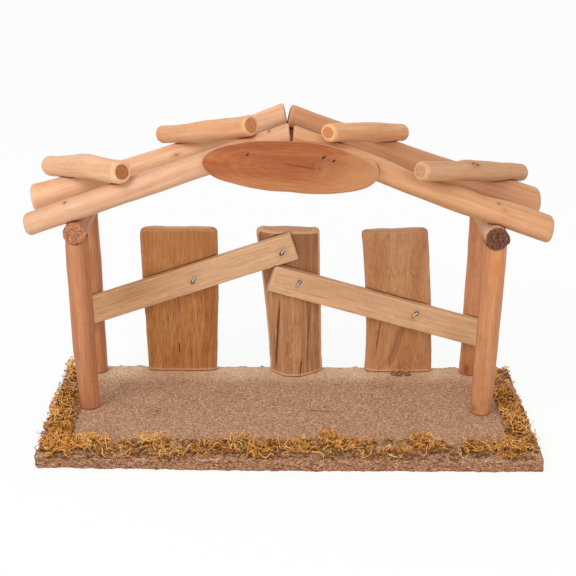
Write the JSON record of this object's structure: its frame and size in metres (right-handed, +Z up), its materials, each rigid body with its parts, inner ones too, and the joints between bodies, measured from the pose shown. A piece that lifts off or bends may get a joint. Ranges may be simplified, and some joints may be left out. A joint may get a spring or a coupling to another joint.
{
  "type": "nativity stable",
  "caption": "Rustic open-fronted wooden stable: fibreboard base edged with dried moss, peeled-log posts and gable roof frame, oval gable plaque, plank back wall tied by slanting rails.",
  "frame": {"origin": "middle of the base board's underside, on the surface it stands on", "axes": "+X along the width, to the right as seen from the open front; +Y from the open front to the back wall; +Z up"},
  "size_m": [0.3279, 0.1279, 0.197],
  "materials": {
    "fibreboard": "pressed wood-fibre softboard, matt speckled top and rough torn edges",
    "post_wood": "peeled reddish branch wood, matt",
    "roof_wood": "peeled and lightly sanded branch wood, matt",
    "plaque_wood": "smooth slanting cut across a branch, matt",
    "plank_wood": "sanded live-edge plank, matt",
    "rail_wood": "planed pale lath, matt",
    "steel_wire": "dull galvanised wire",
    "moss": "curly dried golden moss"
  },
  "bodies": {
    "root": {"base_board": "fibreboard", "front_left_post": "post_wood", "front_right_post": "post_wood", "back_left_post": "post_wood", "back_right_post": "post_wood", "left_plate_log": "post_wood", "right_plate_log": "post_wood", "ridge_log": "post_wood", "front_left_rafter": "roof_wood", "front_right_rafter": "roof_wood", "back_left_rafter": "roof_wood", "back_right_rafter": "roof_wood", "upper_left_roof_stick": "roof_wood", "lower_left_roof_stick": "roof_wood", "upper_right_roof_stick": "roof_wood", "lower_right_roof_stick": "roof_wood", "oval_plaque": "plaque_wood", "left_plank": "plank_wood", "middle_plank": "plank_wood", "right_plank": "plank_wood", "left_rail": "rail_wood", "right_rail": "rail_wood", "rail_staples": "steel_wire", "plaque_staples": "steel_wire", "ridge_staples": "steel_wire", "rafter_brads": "steel_wire", "stick_brads": "steel_wire", "plate_brads": "steel_wire", "post_nails": "steel_wire", "plank_nails": "steel_wire", "front_moss": "moss", "left_moss": "moss", "right_moss": "moss", "moss_tuft": "moss"}
  },
  "joints": []
}
